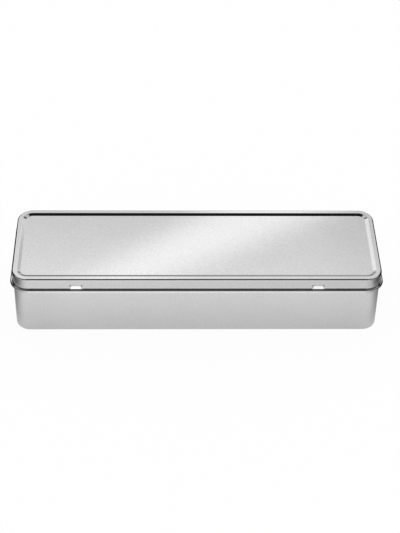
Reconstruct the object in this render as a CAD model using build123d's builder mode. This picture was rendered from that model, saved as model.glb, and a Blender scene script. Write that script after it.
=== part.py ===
"""Hinged storage tin for coloured pencils.

A base drawn from sheet metal, with a necked and curled rim, carries a slip-over lid.
The lid turns on two wire pins held in the curled hem along its rear edge.
Two tongues, lanced out of the base's rear wall, are curled round the same pins.

Millimetres. +X is the long way, +Y points to the hinge side and +Z is up.
The origin lies under the middle of the tin, on the surface that it stands on.
"""

from build123d import *

import os
from math import acos, degrees

# ---- the whole tin -----------------------------------------------------------
BASE_LENGTH = 194.8  # outside of the base's walls
BASE_WIDTH = 58.0
BASE_CORNER_RADIUS = 7.8  # plan radius, outside of the wall
TIN_HEIGHT = 36.5  # closed, to the top of the lid's rim
SHEET = 0.28  # tinplate thickness
BEND_RADIUS = 0.5  # small pressed bends, at the middle of the sheet
CURL_GAP = 0.1  # between the end of a curled edge and the sheet that it returns to

# ---- base --------------------------------------------------------------------
FOOT_EDGE_RADIUS = 1.2  # outside radius where the wall meets the foot
FOOT_RING_WIDTH = 1.6  # flat ring that the tin stands on
FOOT_STEP_RUN = 0.8
FLOOR_RISE = 0.6  # floor panel pressed up inside the foot ring
NECK_INSET = 0.5  # the wall steps in under the lid
SHOULDER_HEIGHT = 1.4
SHOULDER_SHOWING = 1.6  # from the bottom of the lid's hem down to the shoulder's foot
RIM_CURL_DIAMETER = 1.2  # the rim is curled inwards, so that no raw edge is left

# ---- lid ---------------------------------------------------------------------
LID_HEIGHT = 8.0  # rim to the bottom of the hem
LID_CLEARANCE = 0.3  # between the base's wall and the lid's skirt, all round
LID_SEAT_GAP = 0.1  # between the base's rim and the underside of the lid
LID_EDGE_RADIUS = 0.8  # outside radius of the lid's top edge
LID_RIM_WIDTH = 2.8  # flat rim round the sunken panel
PANEL_SLOPE_RUN = 1.8
PANEL_DEPTH = 0.6
HEM_DIAMETER = 1.45  # the skirt's lower edge is curled outwards

# ---- snap dimples in the front of the lid ------------------------------------
DIMPLE_INSET = 33.5  # from each end of the base to the middle of a dimple
DIMPLE_LENGTH = 7.2
DIMPLE_HEIGHT = 3.3
DIMPLE_DEPTH = 0.5
DIMPLE_ABOVE_HEM = 1.2  # bottom of the dimple above the bottom of the hem
DIMPLE_STEP = 0.6  # steep upper edge; below its flat the dimple ramps back out
DIMPLE_FLAT_LENGTH = 5.2
DIMPLE_FLAT_HEIGHT = 0.9

# ---- hinges ------------------------------------------------------------------
HINGE_INSET = 32.4  # from each end of the base to the middle of a hinge
TONGUE_WIDTH = 14.0
TONGUE_RISE = 1.2  # height over which the tongue bends out to the pin
TONGUE_ROOT_DROP = 1.9  # the tongue's root below the bottom of the hem
LANCE_GAP = 0.25  # cut at each side of the tongue
LANCE_HEIGHT = 5.2  # window that the lanced tongue leaves in the wall
KNUCKLE_GAP = 0.5  # between the tongue and the ends of the cut hem
NOTCH_CLEARANCE = 0.4  # between the tongue's curl and the lid's skirt above it
PIN_CLEARANCE = 0.07  # radial, inside the hem and the tongues
PIN_GRIP = 5.0  # length of pin inside the hem at each side of the tongue
PIN_END_CHAMFER = 0.2

# ---- worked out from the sizes above -----------------------------------------
LID_OFFSET = LID_CLEARANCE + SHEET  # lid's outer face beyond the base's
LID_LENGTH = BASE_LENGTH + 2 * LID_OFFSET
LID_WIDTH = BASE_WIDTH + 2 * LID_OFFSET
LID_CORNER_RADIUS = BASE_CORNER_RADIUS + LID_OFFSET
HEM_BOTTOM = TIN_HEIGHT - LID_HEIGHT
DIMPLE_SPACING = BASE_LENGTH - 2 * DIMPLE_INSET
HINGE_SPACING = BASE_LENGTH - 2 * HINGE_INSET
CURL_RADIUS = (HEM_DIAMETER - SHEET) / 2  # middle of the sheet, hem and tongues
PIN_OUT = CURL_RADIUS - SHEET / 2  # pin axis beyond the lid's outer face
PIN_HEIGHT = HEM_BOTTOM + HEM_DIAMETER / 2
PIN_RADIUS = CURL_RADIUS - SHEET / 2 - PIN_CLEARANCE
PIN_Y = LID_WIDTH / 2 + PIN_OUT
NOTCH_WIDTH = TONGUE_WIDTH + 2 * KNUCKLE_GAP
SHOULDER_BOTTOM = HEM_BOTTOM - SHOULDER_SHOWING
TONGUE_ROOT = HEM_BOTTOM - TONGUE_ROOT_DROP
HEM_REACH = HEM_DIAMETER - SHEET  # hem beyond the lid's outer face


def wall_section(plane, middle, curl_radius, curl_side, turn):
    """Face of a sheet bent along the line of its middle and curled at the end.

    The line is given as (out, up, bend radius) corners and ends straight up or down.
    The curl lies on its outer side (1) or inner side (-1), and turns anticlockwise (1)
    or clockwise (-1) until its end comes close to the sheet that it left.
    """
    points = [(out, up) for out, up, _ in middle]
    radii = [radius for _, _, radius in middle[1:-1]]
    end_out, end_up = points[-1]
    start = 180 if curl_side > 0 else 0
    outside = curl_radius + SHEET / 2
    wrap = 180 + degrees(acos((SHEET / 2 + CURL_GAP - curl_radius) / outside))
    with BuildSketch(plane) as section:
        with BuildLine():
            FilletPolyline(*points, radius=radii)
            CenterArc((end_out + curl_side * curl_radius, end_up), curl_radius, start, turn * wrap)
        trace(line_width=SHEET)
    return section.sketch


def run_round(section_on, length, width, radius):
    """Carry a wall's section round a rounded rectangle, as four equal quarters.

    section_on(plane) draws the section, with its x pointing out of the tin.
    """
    rear = Plane(origin=(0, width / 2, 0), x_dir=(0, 1, 0), z_dir=(1, 0, 0))
    bend = Plane(origin=(length / 2 - radius, width / 2, 0), x_dir=(0, 1, 0), z_dir=(1, 0, 0))
    side = Plane(origin=(length / 2, 0, 0), x_dir=(1, 0, 0), z_dir=(0, -1, 0))
    centre = Axis((length / 2 - radius, width / 2 - radius, 0), (0, 0, -1))
    with BuildPart() as quarter:
        extrude(section_on(rear), amount=length / 2 - radius)
        revolve(section_on(bend), axis=centre, revolution_arc=90)
        extrude(section_on(side), amount=-(width / 2 - radius))
        mirror(about=Plane.YZ)
        mirror(about=Plane.XZ)
    return quarter.part


def rounded_plate(length, width, radius, bottom):
    """Flat plate of the sheet's thickness with rounded corners."""
    with BuildPart() as plate:
        with BuildSketch(Plane.XY.offset(bottom)):
            RectangleRounded(length, width, radius)
        extrude(amount=SHEET)
    return plate.part


def base_section(plane):
    """Base wall from the floor panel, over the foot and the neck, to the curled rim."""
    foot_in = -(FOOT_EDGE_RADIUS + FOOT_RING_WIDTH)
    neck = -SHEET / 2 - NECK_INSET
    curl_radius = (RIM_CURL_DIAMETER - SHEET) / 2
    rim_top = TIN_HEIGHT - SHEET - LID_SEAT_GAP
    curl_height = rim_top - RIM_CURL_DIAMETER / 2
    shoulder_top = SHOULDER_BOTTOM + SHOULDER_HEIGHT
    middle = [
        (foot_in - FOOT_STEP_RUN - BEND_RADIUS, FLOOR_RISE + SHEET / 2, 0),
        (foot_in - FOOT_STEP_RUN, FLOOR_RISE + SHEET / 2, BEND_RADIUS),
        (foot_in, SHEET / 2, BEND_RADIUS),
        (-SHEET / 2, SHEET / 2, FOOT_EDGE_RADIUS - SHEET / 2),
        (-SHEET / 2, SHOULDER_BOTTOM, BEND_RADIUS),
        (neck, shoulder_top, BEND_RADIUS),
        (neck, curl_height, 0),
    ]
    return wall_section(plane, middle, curl_radius, -1, 1)


def hinge_tongue(x):
    """Tongue that leaves the rear wall at its root, bends out and curls round a pin."""
    pin_out = LID_OFFSET + PIN_OUT
    bend = TONGUE_ROOT + BEND_RADIUS
    middle = [
        (-SHEET / 2, TONGUE_ROOT - SHEET, 0),
        (-SHEET / 2, bend, BEND_RADIUS),
        (pin_out - CURL_RADIUS, bend + TONGUE_RISE, BEND_RADIUS),
        (pin_out - CURL_RADIUS, PIN_HEIGHT, 0),
    ]
    edge = Plane(
        origin=(x - TONGUE_WIDTH / 2, BASE_WIDTH / 2, 0), x_dir=(0, 1, 0), z_dir=(1, 0, 0)
    )
    with BuildPart() as tongue:
        extrude(wall_section(edge, middle, CURL_RADIUS, 1, -1), amount=TONGUE_WIDTH)
        split(bisect_by=Plane.XY.offset(TONGUE_ROOT), keep=Keep.TOP)
    return tongue.part


def lid_section(plane):
    """Lid from the sunken panel, up its slope, over the rim and down to the hem."""
    panel = TIN_HEIGHT - PANEL_DEPTH - SHEET / 2
    middle = [
        (-LID_RIM_WIDTH - PANEL_SLOPE_RUN - BEND_RADIUS, panel, 0),
        (-LID_RIM_WIDTH - PANEL_SLOPE_RUN, panel, BEND_RADIUS),
        (-LID_RIM_WIDTH, TIN_HEIGHT - SHEET / 2, BEND_RADIUS),
        (-SHEET / 2, TIN_HEIGHT - SHEET / 2, LID_EDGE_RADIUS - SHEET / 2),
        (-SHEET / 2, PIN_HEIGHT, 0),
    ]
    return wall_section(plane, middle, CURL_RADIUS, 1, 1)


def dimple_scoop(face, x):
    """Shape of one snap dimple, pressed inwards from the plane y = -face."""
    top = HEM_BOTTOM + DIMPLE_ABOVE_HEM + DIMPLE_HEIGHT
    mouth = (x, -face, top - DIMPLE_HEIGHT / 2)
    flat = (x, DIMPLE_DEPTH - face, top - DIMPLE_STEP - DIMPLE_FLAT_HEIGHT / 2)
    with BuildPart() as scoop:
        with BuildSketch(Plane(origin=mouth, x_dir=(1, 0, 0), z_dir=(0, -1, 0))):
            SlotOverall(DIMPLE_LENGTH, DIMPLE_HEIGHT)
        with BuildSketch(Plane(origin=flat, x_dir=(1, 0, 0), z_dir=(0, -1, 0))):
            SlotOverall(DIMPLE_FLAT_LENGTH, DIMPLE_FLAT_HEIGHT)
        loft()
    return scoop.part


# ---- base --------------------------------------------------------------------
floor_inset = FOOT_EDGE_RADIUS + FOOT_RING_WIDTH + FOOT_STEP_RUN
with BuildPart() as base_tray:
    add(run_round(base_section, BASE_LENGTH, BASE_WIDTH, BASE_CORNER_RADIUS))
    add(
        rounded_plate(
            BASE_LENGTH - 2 * floor_inset,
            BASE_WIDTH - 2 * floor_inset,
            BASE_CORNER_RADIUS - floor_inset,
            FLOOR_RISE,
        )
    )
    # the windows that the lanced tongues leave in the rear wall
    with BuildSketch(Plane.XZ.offset(-BASE_WIDTH / 2)):
        with Locations((0, TONGUE_ROOT + LANCE_HEIGHT / 2)):
            with GridLocations(HINGE_SPACING, 1, 2, 1):
                Rectangle(TONGUE_WIDTH + 2 * LANCE_GAP, LANCE_HEIGHT)
    extrude(amount=NECK_INSET + 2 * SHEET, mode=Mode.SUBTRACT)
    add(hinge_tongue(-HINGE_SPACING / 2))
    add(hinge_tongue(HINGE_SPACING / 2))

# ---- lid ---------------------------------------------------------------------
panel_inset = LID_RIM_WIDTH + PANEL_SLOPE_RUN
with BuildPart() as lid:
    add(run_round(lid_section, LID_LENGTH, LID_WIDTH, LID_CORNER_RADIUS))
    add(
        rounded_plate(
            LID_LENGTH - 2 * panel_inset,
            LID_WIDTH - 2 * panel_inset,
            LID_CORNER_RADIUS - panel_inset,
            TIN_HEIGHT - PANEL_DEPTH - SHEET,
        )
    )
    # each dimple is the same scoop inside the sheet as outside it
    for x in (-DIMPLE_SPACING / 2, DIMPLE_SPACING / 2):
        add(dimple_scoop(LID_WIDTH / 2 - SHEET, x))
        add(dimple_scoop(LID_WIDTH / 2, x), mode=Mode.SUBTRACT)
    # the hem is cut away where the base's tongues take hold of the pins
    notch_top = PIN_HEIGHT + HEM_DIAMETER / 2 + NOTCH_CLEARANCE
    with BuildSketch(Plane.XZ.offset(-(LID_WIDTH / 2 + HEM_REACH + SHEET))):
        with Locations((0, (HEM_BOTTOM - SHEET + notch_top) / 2)):
            with GridLocations(HINGE_SPACING, 1, 2, 1):
                Rectangle(NOTCH_WIDTH, notch_top - HEM_BOTTOM + SHEET)
    extrude(amount=HEM_REACH + 3 * SHEET, mode=Mode.SUBTRACT)


def hinge_pin(x):
    """Straight wire pin along X, held in the lid's hem at both sides of a tongue."""
    with BuildPart() as pin:
        with Locations((x, PIN_Y, PIN_HEIGHT)):
            Cylinder(PIN_RADIUS, NOTCH_WIDTH + 2 * PIN_GRIP, rotation=(0, 90, 0))
        chamfer(pin.edges().filter_by(GeomType.CIRCLE), PIN_END_CHAMFER)
    return pin


left_pin = hinge_pin(-HINGE_SPACING / 2)
right_pin = hinge_pin(HINGE_SPACING / 2)

# ---- files -------------------------------------------------------------------
os.makedirs("parts", exist_ok=True)
pieces = {
    "base_tray": base_tray,
    "lid": lid,
    "hinge_pin_left": left_pin,
    "hinge_pin_right": right_pin,
}
for name, piece in pieces.items():
    piece.part.label = name
    export_step(piece.part, f"parts/{name}.step")
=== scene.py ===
"""Looks for the hinged pencil tin: bare satin tinplate on a pale floor, under soft studio light.

Metres, in the tin's own frame: +X is the long way, +Y points to the hinges and +Z is up.

A value for Nodes.smooth is written as (start, end) or (start, end, before, after): a soft step from
before to after, or from 0 to 1, while the quantity that the step is for goes from start to end.
"""

from math import cos, radians, sin

import bpy
from mathutils import Matrix, Vector

def round_over(start, end, before=0.0, after=1.0):
    """Step in degrees from the front horizon, over the top, to the rear horizon."""
    return radians(start), radians(end), before, after


def above_horizon(start, end, before=0.0, after=1.0):
    """Step in degrees above the horizon, for the upward part of a direction."""
    return sin(radians(start)), sin(radians(end)), before, after


WHITE = (1.0, 1.0, 1.0, 1.0)

# ---- camera, as fitted to the photograph's outlines ---------------------------
IMAGE_HEIGHT_PX = 533
FOCAL_PX = 1474.7
SENSOR_MM = 36.0
CLIP_START = 0.01
CAMERA_ELEVATION = radians(40.50)
CAMERA_TURN = radians(1.93)
CAMERA_ROLL = radians(1.26)
CAMERA_DISTANCE = 0.8105
CAMERA_TARGET = Vector((0.0022, 0.0029, 0.0180))

# ---- floor ---------------------------------------------------------------------
FLOOR_SIZE = 2.4
FLOOR_GREY = 0.90
FLOOR_CAMERA_LIFT = 0.95  # share of plain white that the camera sees in the floor
FLOOR_MIRROR_LIFT = 0.40  # the same for what polished metal sees

# What follows is seen by polished metal alone. "Aside" is the distance from the tin's middle to
# either end, and "back" is the one towards the hinges, negative in front of the tin. A fall is the
# share of the floor's light that is taken away.
CLOSE_EDGE = (-0.068, -0.060)  # back: to the camera, the base mirrors what is closer, the skirt the rest
FLOOR_LEVEL = (0.97, 0.995)  # in front of that edge, closer to the tin
FLOOR_SLOPE = (-0.80, -0.12)  # change of level for each metre to the right, in the same two places
CORNER_MIDDLE = (0.0886, 0.0215)  # aside and forward: about the centre of a front corner's curve
RING_EDGE = (0.041, 0.046)  # distance from there, between what base and skirt mirror
BESIDE_EDGE = (0.101, 0.132)  # aside, for the shadow at the tin's ends
BESIDE_LEAN = 0.15  # how much that edge moves inwards for each metre back
BESIDE_FALL = (0.38, 0.70)  # inside the ring, outside it
SKIRT_FALL = (0.094, 0.112, 0.0, 0.17)  # aside, outside the ring
FRONT_FADE = (-0.14, -0.07)  # back: in front of this the two shadows above fade out
END_EDGE = (0.093, 0.108)  # aside, for a shadow close to the tin's ends
END_BACK = (-0.045, -0.005)
END_FALL = 0.50
CORNER_FALL = (0.065, 0.095, 0.0, 0.07)  # aside, closer to the tin than the close edge
NEAR_FALL = (-0.062, -0.034, 0.0, 0.06)  # back, up to the base's front
WIDE_FALL = (0.18, 0.28, 0.0, 0.65)  # aside
REAR_FALL = (0.18, 0.40, 0.0, 0.90)  # back
FRONT_GLOW_BACK = (-0.24, -0.13, 2.4, 0.0)  # the floor's extra light well in front of the tin
FRONT_GLOW_ASIDE = (0.13, 0.18, 1.0, 0.0)
FRONT_END = (-0.55, -0.30, 0.45, 1.0)  # back: the light weakens farther out

# ---- soft card, which polished metal alone sees -----------------------------------
CARD_TILT = radians(40.0)  # height of the card's middle above the horizon
CARD_DISTANCE = 1.5
CARD_HALF_WIDTH = 0.62
CARD_BELOW = 0.53
CARD_ABOVE = 0.13
CARD_LEVEL = 0.94
CARD_SLOPE_ACROSS = -0.10  # change of level for each metre to the right
CARD_SLOPE_UP = 1.14  # the same for each metre up the card
CARD_RIGHT_STEP = (0.20, 0.32, 0.0, -0.08)  # across
CARD_LEFT_STEP = (-0.300, -0.255, 0.28, 0.0)  # across
CARD_MIDDLE_STEP = (-0.030, 0.075, -0.045, 0.025)  # up the card
STRIP_LEFT_SLANT = 1.87  # metres to the left for each metre up
STRIP_RIGHT_SLANT = 2.54
STRIP_LEFT_EDGE = (-0.048, 0.028)
STRIP_RIGHT_EDGE = (0.139, 0.181, 1.0, 0.0)
STRIP_GAIN = (-0.030, 0.075, 0.54, 0.32)  # up the card: how much brighter the strip is

# ---- room, which polished metal alone sees --------------------------------------
# A direction's part along X is "aside" when its sign is left out, and its part along Y is "back".
ROOM_DARK = 0.01
CEILING_FAINT = round_over(24.0, 34.0, 0.0, 0.05)
CEILING_LIGHT = round_over(80.0, 86.0, 0.0, 0.15)
CEILING_END = round_over(94.0, 98.0, 1.0, 0.0)  # past it lies the dark gap that draws the black line
REAR_CEILING = round_over(113.0, 118.0, 0.0, 0.25)
REAR_CEILING_ASIDE = (0.20, 0.35, 1.0, 0.0)
CORNER_CEILING = round_over(98.0, 103.0)
CORNER_CEILING_HEIGHT = above_horizon(44.0, 56.0)
CORNER_CEILING_ASIDE = (0.15, 0.20, 0.0, 0.60)
WINDOW_SILL = above_horizon(9.0, 15.0)
WINDOW_TOP = above_horizon(45.0, 60.0, 1.0, 0.0)
SIDE_WINDOW = (0.10, 0.20, 0.24, 0.0)  # back, in either direction
FRONT_WINDOW_ASIDE = (0.19, 0.29)
FRONT_WINDOW_BACK = (-0.45, -0.30, 0.28, 0.0)
FRONT_LOW_TOP = above_horizon(9.0, 14.0, 1.0, 0.0)
FRONT_LOW_ASIDE = (0.25, 0.50, 1.35, 0.50)
FRONT_LOW_BACK = (-0.55, -0.25, 1.0, 0.0)
REAR_LOW_SIDEWAYS = (-0.15, 0.20, 0.02, 0.22)  # from left to right
REAR_LOW_RISE = above_horizon(12.0, 21.0, 0.0, 0.55)
REAR_LOW_TOP = above_horizon(21.0, 25.0, 1.0, 0.0)
REAR_LOW_ASIDE = (0.35, 0.50, 1.0, 0.0)
REAR_LOW_BACK = (-0.2, 0.2)

# ---- tinplate ------------------------------------------------------------------
# A noise is written as (scale, detail, roughness).
ROLLING_STRETCH = (0.08, 1.0, 1.0)
MOTTLE_STRETCH = (0.5, 1.3, 1.3)
FINE_GRAIN = (2600.0, 3.0, 0.6)
MOTTLE = (2200.0, 2.0, 0.6)
ROLLING_LINES = (3200.0, 2.0, 0.6)
CLOUDS = (70.0, 3.0, 0.55)
BROAD_WAVES = (14.0, 1.0, 0.4)
NOISE_SPAN = (0.3, 0.7)  # most of a noise's values lie in this span
SHADE_BY_CLOUD = (0.25, 0.75, 0.99, 1.01)
SPECK_BY_GRAIN = (0.3, 0.7, 0.975, 1.02)
GLOSS_SPREAD = 0.005
LINES_SHARE = 0.6  # height of the rolling lines, against the grain's
GRAIN_DEPTH = 0.00002
WAVE_DEPTH = 0.004
LID_METAL = {"grey": 0.66, "roughness": 0.06, "speckle": 0.055, "grain": 0.25, "waviness": 0.006}
BASE_METAL = {"grey": 0.71, "roughness": 0.13, "speckle": 0.065, "grain": 0.25, "waviness": 0.006}
WIRE_METAL = {"grey": 0.55, "roughness": 0.30, "speckle": 0.04, "grain": 0.6, "waviness": 0.0}


class Nodes:
    """Short way to write a shader's node tree."""

    def __init__(self, tree):
        self.tree = tree
        tree.nodes.clear()

    def add(self, kind, inputs=None, **settings):
        node = self.tree.nodes.new(kind)
        for name, value in settings.items():
            setattr(node, name, value)
        for name, value in (inputs or {}).items():
            self.feed(node.inputs[name], value)
        return node

    def feed(self, socket, value):
        if isinstance(value, bpy.types.NodeSocket):
            self.tree.links.new(value, socket)
        else:
            socket.default_value = value

    def coordinates(self, kind):
        """The parts of a place or a direction along X, Y and Z."""
        place = self.add("ShaderNodeTexCoord").outputs[kind]
        parts = self.add("ShaderNodeSeparateXYZ", {0: place}).outputs
        return parts["X"], parts["Y"], parts["Z"]

    def math(self, operation, a, b=0.0):
        return self.add("ShaderNodeMath", {0: a, 1: b}, operation=operation).outputs[0]

    def times(self, *values):
        total = values[0]
        for value in values[1:]:
            total = self.math("MULTIPLY", total, value)
        return total

    def plus(self, *values):
        total = values[0]
        for value in values[1:]:
            total = self.math("ADD", total, value)
        return total

    def size_of(self, value):
        return self.math("ABSOLUTE", value)

    def rest_of(self, share):
        return self.math("SUBTRACT", 1.0, share)

    def smooth(self, value, start, end, before=0.0, after=1.0):
        inputs = {"Value": value, "From Min": start, "From Max": end, "To Min": before, "To Max": after}
        node = self.add("ShaderNodeMapRange", inputs, interpolation_type="SMOOTHSTEP")
        return node.outputs["Result"]

    def either(self, share, first, second):
        """The first number where the share is 0, the second where it is 1, with a soft step between."""
        return self.smooth(share, 0.0, 1.0, first, second)

    def noise(self, vector, scale, detail, roughness):
        inputs = {"Vector": vector, "Scale": scale, "Detail": detail, "Roughness": roughness}
        return self.add("ShaderNodeTexNoise", inputs).outputs[0]

    def glow(self, strength):
        return self.add("ShaderNodeEmission", {"Strength": strength}).outputs[0]

    def background(self, strength):
        return self.add("ShaderNodeBackground", {"Color": WHITE, "Strength": strength}).outputs[0]

    def blend(self, share, first, second):
        """The first shader where the share is 0, the second where it is 1."""
        return self.add("ShaderNodeMixShader", {0: share, 1: first, 2: second}).outputs[0]


def new_material(name):
    material = bpy.data.materials.new(name)
    material.use_nodes = True
    return material, Nodes(material.node_tree)


def link(obj):
    bpy.context.scene.collection.objects.link(obj)
    return obj


# ---- camera --------------------------------------------------------------------
def make_camera():
    forward = Vector(
        (
            sin(CAMERA_TURN) * cos(CAMERA_ELEVATION),
            cos(CAMERA_TURN) * cos(CAMERA_ELEVATION),
            -sin(CAMERA_ELEVATION),
        )
    )
    level = Vector((cos(CAMERA_TURN), -sin(CAMERA_TURN), 0.0))
    upright = level.cross(forward)
    right = level * cos(CAMERA_ROLL) + upright * sin(CAMERA_ROLL)
    up = upright * cos(CAMERA_ROLL) - level * sin(CAMERA_ROLL)
    data = bpy.data.cameras.new("camera")
    data.sensor_width = SENSOR_MM
    data.lens = FOCAL_PX / IMAGE_HEIGHT_PX * SENSOR_MM
    data.clip_start = CLIP_START
    camera = link(bpy.data.objects.new("camera", data))
    turn = Matrix((right, up, -forward)).transposed().to_4x4()
    camera.matrix_world = Matrix.Translation(CAMERA_TARGET - forward * CAMERA_DISTANCE) @ turn
    bpy.context.scene.camera = camera


# ---- studio --------------------------------------------------------------------
def make_plane(name, left, right, bottom, top):
    data = bpy.data.meshes.new(name)
    corners = [(left, bottom, 0), (right, bottom, 0), (right, top, 0), (left, top, 0)]
    data.from_pydata(corners, [], [(0, 1, 2, 3)])
    return link(bpy.data.objects.new(name, data))


def floor_shadows(n, aside, back):
    """The shares of light that the floor's soft shadows take, as polished metal sees them."""
    corner_aside, corner_forward = CORNER_MIDDLE
    past_end = n.math("MAXIMUM", n.plus(aside, -corner_aside), 0.0)
    past_front = n.math("MAXIMUM", n.plus(n.times(back, -1.0), -corner_forward), 0.0)
    outwards = n.math("SQRT", n.plus(n.times(past_end, past_end), n.times(past_front, past_front)))
    ring = n.smooth(outwards, *RING_EDGE)
    front_fade = n.smooth(back, *FRONT_FADE)
    beside = n.smooth(n.plus(aside, n.times(back, BESIDE_LEAN)), *BESIDE_EDGE)
    return (
        n.times(beside, front_fade, n.either(ring, *BESIDE_FALL)),
        n.times(ring, front_fade, n.smooth(aside, *SKIRT_FALL)),
        n.times(n.smooth(aside, *END_EDGE), n.smooth(back, *END_BACK), END_FALL),
        n.smooth(back, *NEAR_FALL),
        n.times(n.smooth(back, *CLOSE_EDGE), n.smooth(aside, *CORNER_FALL)),
        n.smooth(aside, *WIDE_FALL),
        n.smooth(back, *REAR_FALL),
    )


def floor_light(n, sideways, aside, back):
    """What is left of the floor's light for polished metal, after the shadows."""
    close = n.smooth(back, *CLOSE_EDGE)
    light = n.plus(n.either(close, *FLOOR_LEVEL), n.times(sideways, n.either(close, *FLOOR_SLOPE)))
    for fall in floor_shadows(n, aside, back):
        light = n.times(light, n.rest_of(fall))
    return light


def make_floor():
    """White floor. Polished metal sees it brighter in front and darker beside and behind the tin."""
    half = FLOOR_SIZE / 2
    floor = make_plane("floor", -half, half, -half, half)
    material, n = new_material("floor_white")
    sideways, back, _ = n.coordinates("Object")
    aside = n.size_of(sideways)
    path = n.add("ShaderNodeLightPath").outputs
    glossy = path["Is Glossy Ray"]
    front_glow = n.times(n.smooth(back, *FRONT_GLOW_BACK), n.smooth(aside, *FRONT_GLOW_ASIDE))
    front = n.times(n.plus(1.0, front_glow), n.smooth(back, *FRONT_END))
    level = n.add("ShaderNodeMix", {0: glossy, 2: 1.0, 3: front}).outputs[0]
    matt = n.add("ShaderNodeBsdfDiffuse", {"Color": (FLOOR_GREY, FLOOR_GREY, FLOOR_GREY, 1.0)}).outputs[0]
    lift = n.plus(
        n.times(path["Is Camera Ray"], FLOOR_CAMERA_LIFT), n.times(glossy, FLOOR_MIRROR_LIFT)
    )
    lit = n.blend(lift, matt, n.glow(level))
    fall = n.times(glossy, n.rest_of(floor_light(n, sideways, aside, back)))
    n.add("ShaderNodeOutputMaterial", {"Surface": n.blend(fall, lit, n.glow(0.0))})
    floor.data.materials.append(material)


def make_card():
    """Large soft card behind and above the tin, with a brighter slanting strip across it."""
    card = make_plane("soft_card", -CARD_HALF_WIDTH, CARD_HALF_WIDTH, -CARD_BELOW, CARD_ABOVE)
    card.visible_camera = False
    card.visible_diffuse = False
    card.visible_shadow = False
    away = Vector((0.0, cos(CARD_TILT), sin(CARD_TILT)))
    facing = Matrix.Rotation(radians(90.0) + CARD_TILT, 4, "X")
    card.matrix_world = Matrix.Translation(away * CARD_DISTANCE) @ facing
    material, n = new_material("card_light")
    across, upward, _ = n.coordinates("Object")
    level = n.plus(
        CARD_LEVEL,
        n.times(across, CARD_SLOPE_ACROSS),
        n.times(upward, CARD_SLOPE_UP),
        n.smooth(across, *CARD_RIGHT_STEP),
        n.smooth(across, *CARD_LEFT_STEP),
        n.smooth(upward, *CARD_MIDDLE_STEP),
    )
    strip = n.times(
        n.smooth(n.plus(across, n.times(upward, STRIP_LEFT_SLANT)), *STRIP_LEFT_EDGE),
        n.smooth(n.plus(across, n.times(upward, STRIP_RIGHT_SLANT)), *STRIP_RIGHT_EDGE),
        n.smooth(upward, *STRIP_GAIN),
    )
    light = n.glow(n.times(level, n.plus(1.0, strip)))
    n.add("ShaderNodeOutputMaterial", {"Surface": light})
    card.data.materials.append(material)


def room_light(n):
    """Level of the room in each direction, as polished metal sees it: dark, with some soft lights."""
    sideways, back, height = n.coordinates("Generated")
    aside = n.size_of(sideways)
    over = n.math("ARCTAN2", height, n.times(back, -1.0))
    ceiling = n.times(
        n.plus(n.smooth(over, *CEILING_FAINT), n.smooth(over, *CEILING_LIGHT)),
        n.smooth(over, *CEILING_END),
    )
    rear_ceiling = n.times(n.smooth(over, *REAR_CEILING), n.smooth(aside, *REAR_CEILING_ASIDE))
    corner_ceiling = n.times(
        n.smooth(over, *CORNER_CEILING),
        n.smooth(height, *CORNER_CEILING_HEIGHT),
        n.smooth(aside, *CORNER_CEILING_ASIDE),
    )
    window = n.times(n.smooth(height, *WINDOW_SILL), n.smooth(height, *WINDOW_TOP))
    side_windows = n.times(window, n.smooth(n.size_of(back), *SIDE_WINDOW))
    front_windows = n.times(
        window, n.smooth(aside, *FRONT_WINDOW_ASIDE), n.smooth(back, *FRONT_WINDOW_BACK)
    )
    front_low = n.times(
        n.smooth(height, *FRONT_LOW_TOP),
        n.smooth(aside, *FRONT_LOW_ASIDE),
        n.smooth(back, *FRONT_LOW_BACK),
    )
    rear_low = n.times(
        n.plus(n.smooth(sideways, *REAR_LOW_SIDEWAYS), n.smooth(height, *REAR_LOW_RISE)),
        n.smooth(height, *REAR_LOW_TOP),
        n.smooth(aside, *REAR_LOW_ASIDE),
        n.smooth(back, *REAR_LOW_BACK),
    )
    ceilings = n.plus(ROOM_DARK, ceiling, rear_ceiling, corner_ceiling)
    return n.plus(ceilings, side_windows, front_windows, front_low, rear_low)


def make_world():
    """Even white light from all sides, in place of which polished metal sees the room."""
    world = bpy.data.worlds.new("studio")
    bpy.context.scene.world = world
    world.use_nodes = True
    n = Nodes(world.node_tree)
    glossy = n.add("ShaderNodeLightPath").outputs["Is Glossy Ray"]
    seen = n.blend(glossy, n.background(1.0), n.background(room_light(n)))
    n.add("ShaderNodeOutputWorld", {"Surface": seen})


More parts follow.
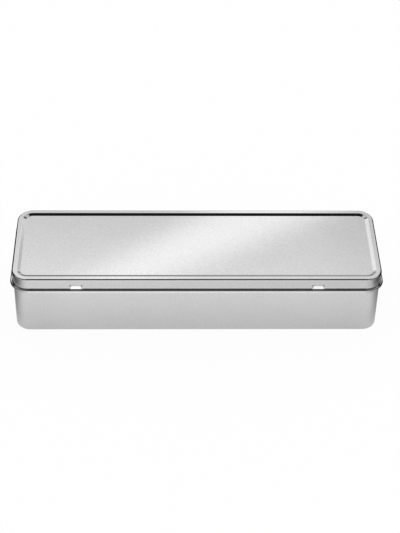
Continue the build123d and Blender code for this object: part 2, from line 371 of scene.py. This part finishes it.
# ---- tinplate ------------------------------------------------------------------
def tinplate(name, grey, roughness, speckle, grain, waviness):
    """Bare satin tinplate: fine grain, faint rolling lines, cloudy gloss and a sheet not quite flat."""
    material, n = new_material(name)
    place = n.add("ShaderNodeTexCoord").outputs["Object"]
    along = n.add("ShaderNodeMapping", {"Vector": place, "Scale": ROLLING_STRETCH}).outputs[0]
    drawn = n.add("ShaderNodeMapping", {"Vector": place, "Scale": MOTTLE_STRETCH}).outputs[0]
    fine = n.noise(place, *FINE_GRAIN)
    mottle = n.noise(drawn, *MOTTLE)
    lines = n.noise(along, *ROLLING_LINES)
    cloud = n.noise(place, *CLOUDS)
    broad = n.noise(place, *BROAD_WAVES)
    gloss = n.smooth(cloud, *NOISE_SPAN, roughness - GLOSS_SPREAD, roughness + GLOSS_SPREAD)
    shade = n.smooth(cloud, *SHADE_BY_CLOUD)
    speck = n.smooth(fine, *SPECK_BY_GRAIN)
    patch = n.smooth(mottle, *NOISE_SPAN, 1.0 - speckle, 1.0 + speckle)
    tone = n.times(shade, speck, patch, grey)
    colour = n.add("ShaderNodeCombineColor", {"Red": tone, "Green": tone, "Blue": tone}).outputs[0]
    waves = {"Strength": waviness, "Distance": WAVE_DEPTH, "Height": broad}
    sheet = n.add("ShaderNodeBump", waves).outputs[0]
    surface = n.plus(fine, n.times(lines, LINES_SHARE))
    relief = {"Strength": grain, "Distance": GRAIN_DEPTH, "Height": surface, "Normal": sheet}
    bump = n.add("ShaderNodeBump", relief).outputs[0]
    look = {"Base Color": colour, "Metallic": 1.0, "Roughness": gloss, "Normal": bump}
    shader = n.add("ShaderNodeBsdfPrincipled", look).outputs[0]
    n.add("ShaderNodeOutputMaterial", {"Surface": shader})
    return material


def dress(frame):
    lid_metal = tinplate("lid_tinplate", **LID_METAL)
    base_metal = tinplate("base_tinplate", **BASE_METAL)
    wire = tinplate("hinge_wire", **WIRE_METAL)
    metals = {
        "lid": lid_metal,
        "base_tray": base_metal,
        "hinge_pin_left": wire,
        "hinge_pin_right": wire,
    }
    for node, metal in metals.items():
        for slot in frame["nodes"][node].material_slots:
            slot.material = metal


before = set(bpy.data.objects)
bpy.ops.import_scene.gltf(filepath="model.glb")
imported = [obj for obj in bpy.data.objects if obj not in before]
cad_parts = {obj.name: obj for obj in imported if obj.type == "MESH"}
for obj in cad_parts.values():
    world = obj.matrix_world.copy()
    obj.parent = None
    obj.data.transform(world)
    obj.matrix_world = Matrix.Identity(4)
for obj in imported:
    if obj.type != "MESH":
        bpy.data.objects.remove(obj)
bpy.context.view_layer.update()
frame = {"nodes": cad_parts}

make_camera()
make_world()
make_floor()
make_card()
dress(frame)
bpy.context.scene.view_settings.view_transform = "Standard"
